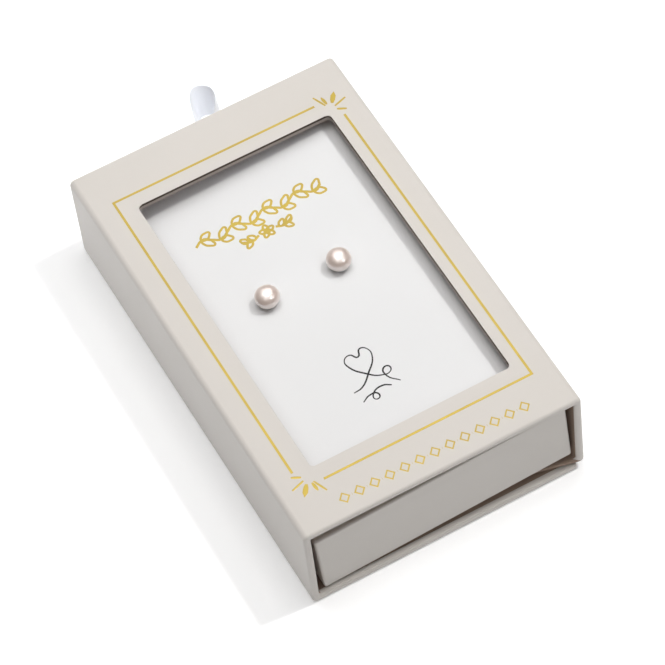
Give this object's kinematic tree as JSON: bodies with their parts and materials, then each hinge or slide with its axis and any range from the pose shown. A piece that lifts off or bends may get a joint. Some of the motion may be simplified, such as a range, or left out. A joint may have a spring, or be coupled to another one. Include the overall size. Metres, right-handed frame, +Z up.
{
  "type": "pair of pearl stud earrings on a card in a slip-drawer gift box",
  "caption": "Pearl stud earrings held on a white card inside a windowed slip-drawer gift box with a ribbon pull.",
  "frame": {"origin": "middle of the box's underside, on the surface it lies on", "axes": "+Z up, -Y towards the end where the drawer shows bare, +Y towards the ribbon pull, +X to the right seen from the -Y end"},
  "size_m": [0.07, 0.1291, 0.027],
  "materials": {
    "wrap_paper": "matt cream paper wrapped round greyboard",
    "card_stock": "smooth white card",
    "satin_ribbon": "white satin ribbon",
    "pearl": "pinkish cream nacre, glossy with a soft depth",
    "gold_plate": "polished gold plate"
  },
  "bodies": {
    "root": {"sleeve": "wrap_paper", "tray": "wrap_paper", "card": "card_stock", "ribbon_pull": "satin_ribbon", "pearl_left": "pearl", "pearl_right": "pearl", "post_left": "gold_plate", "post_right": "gold_plate", "clutch_left": "gold_plate", "clutch_right": "gold_plate"}
  },
  "joints": []
}
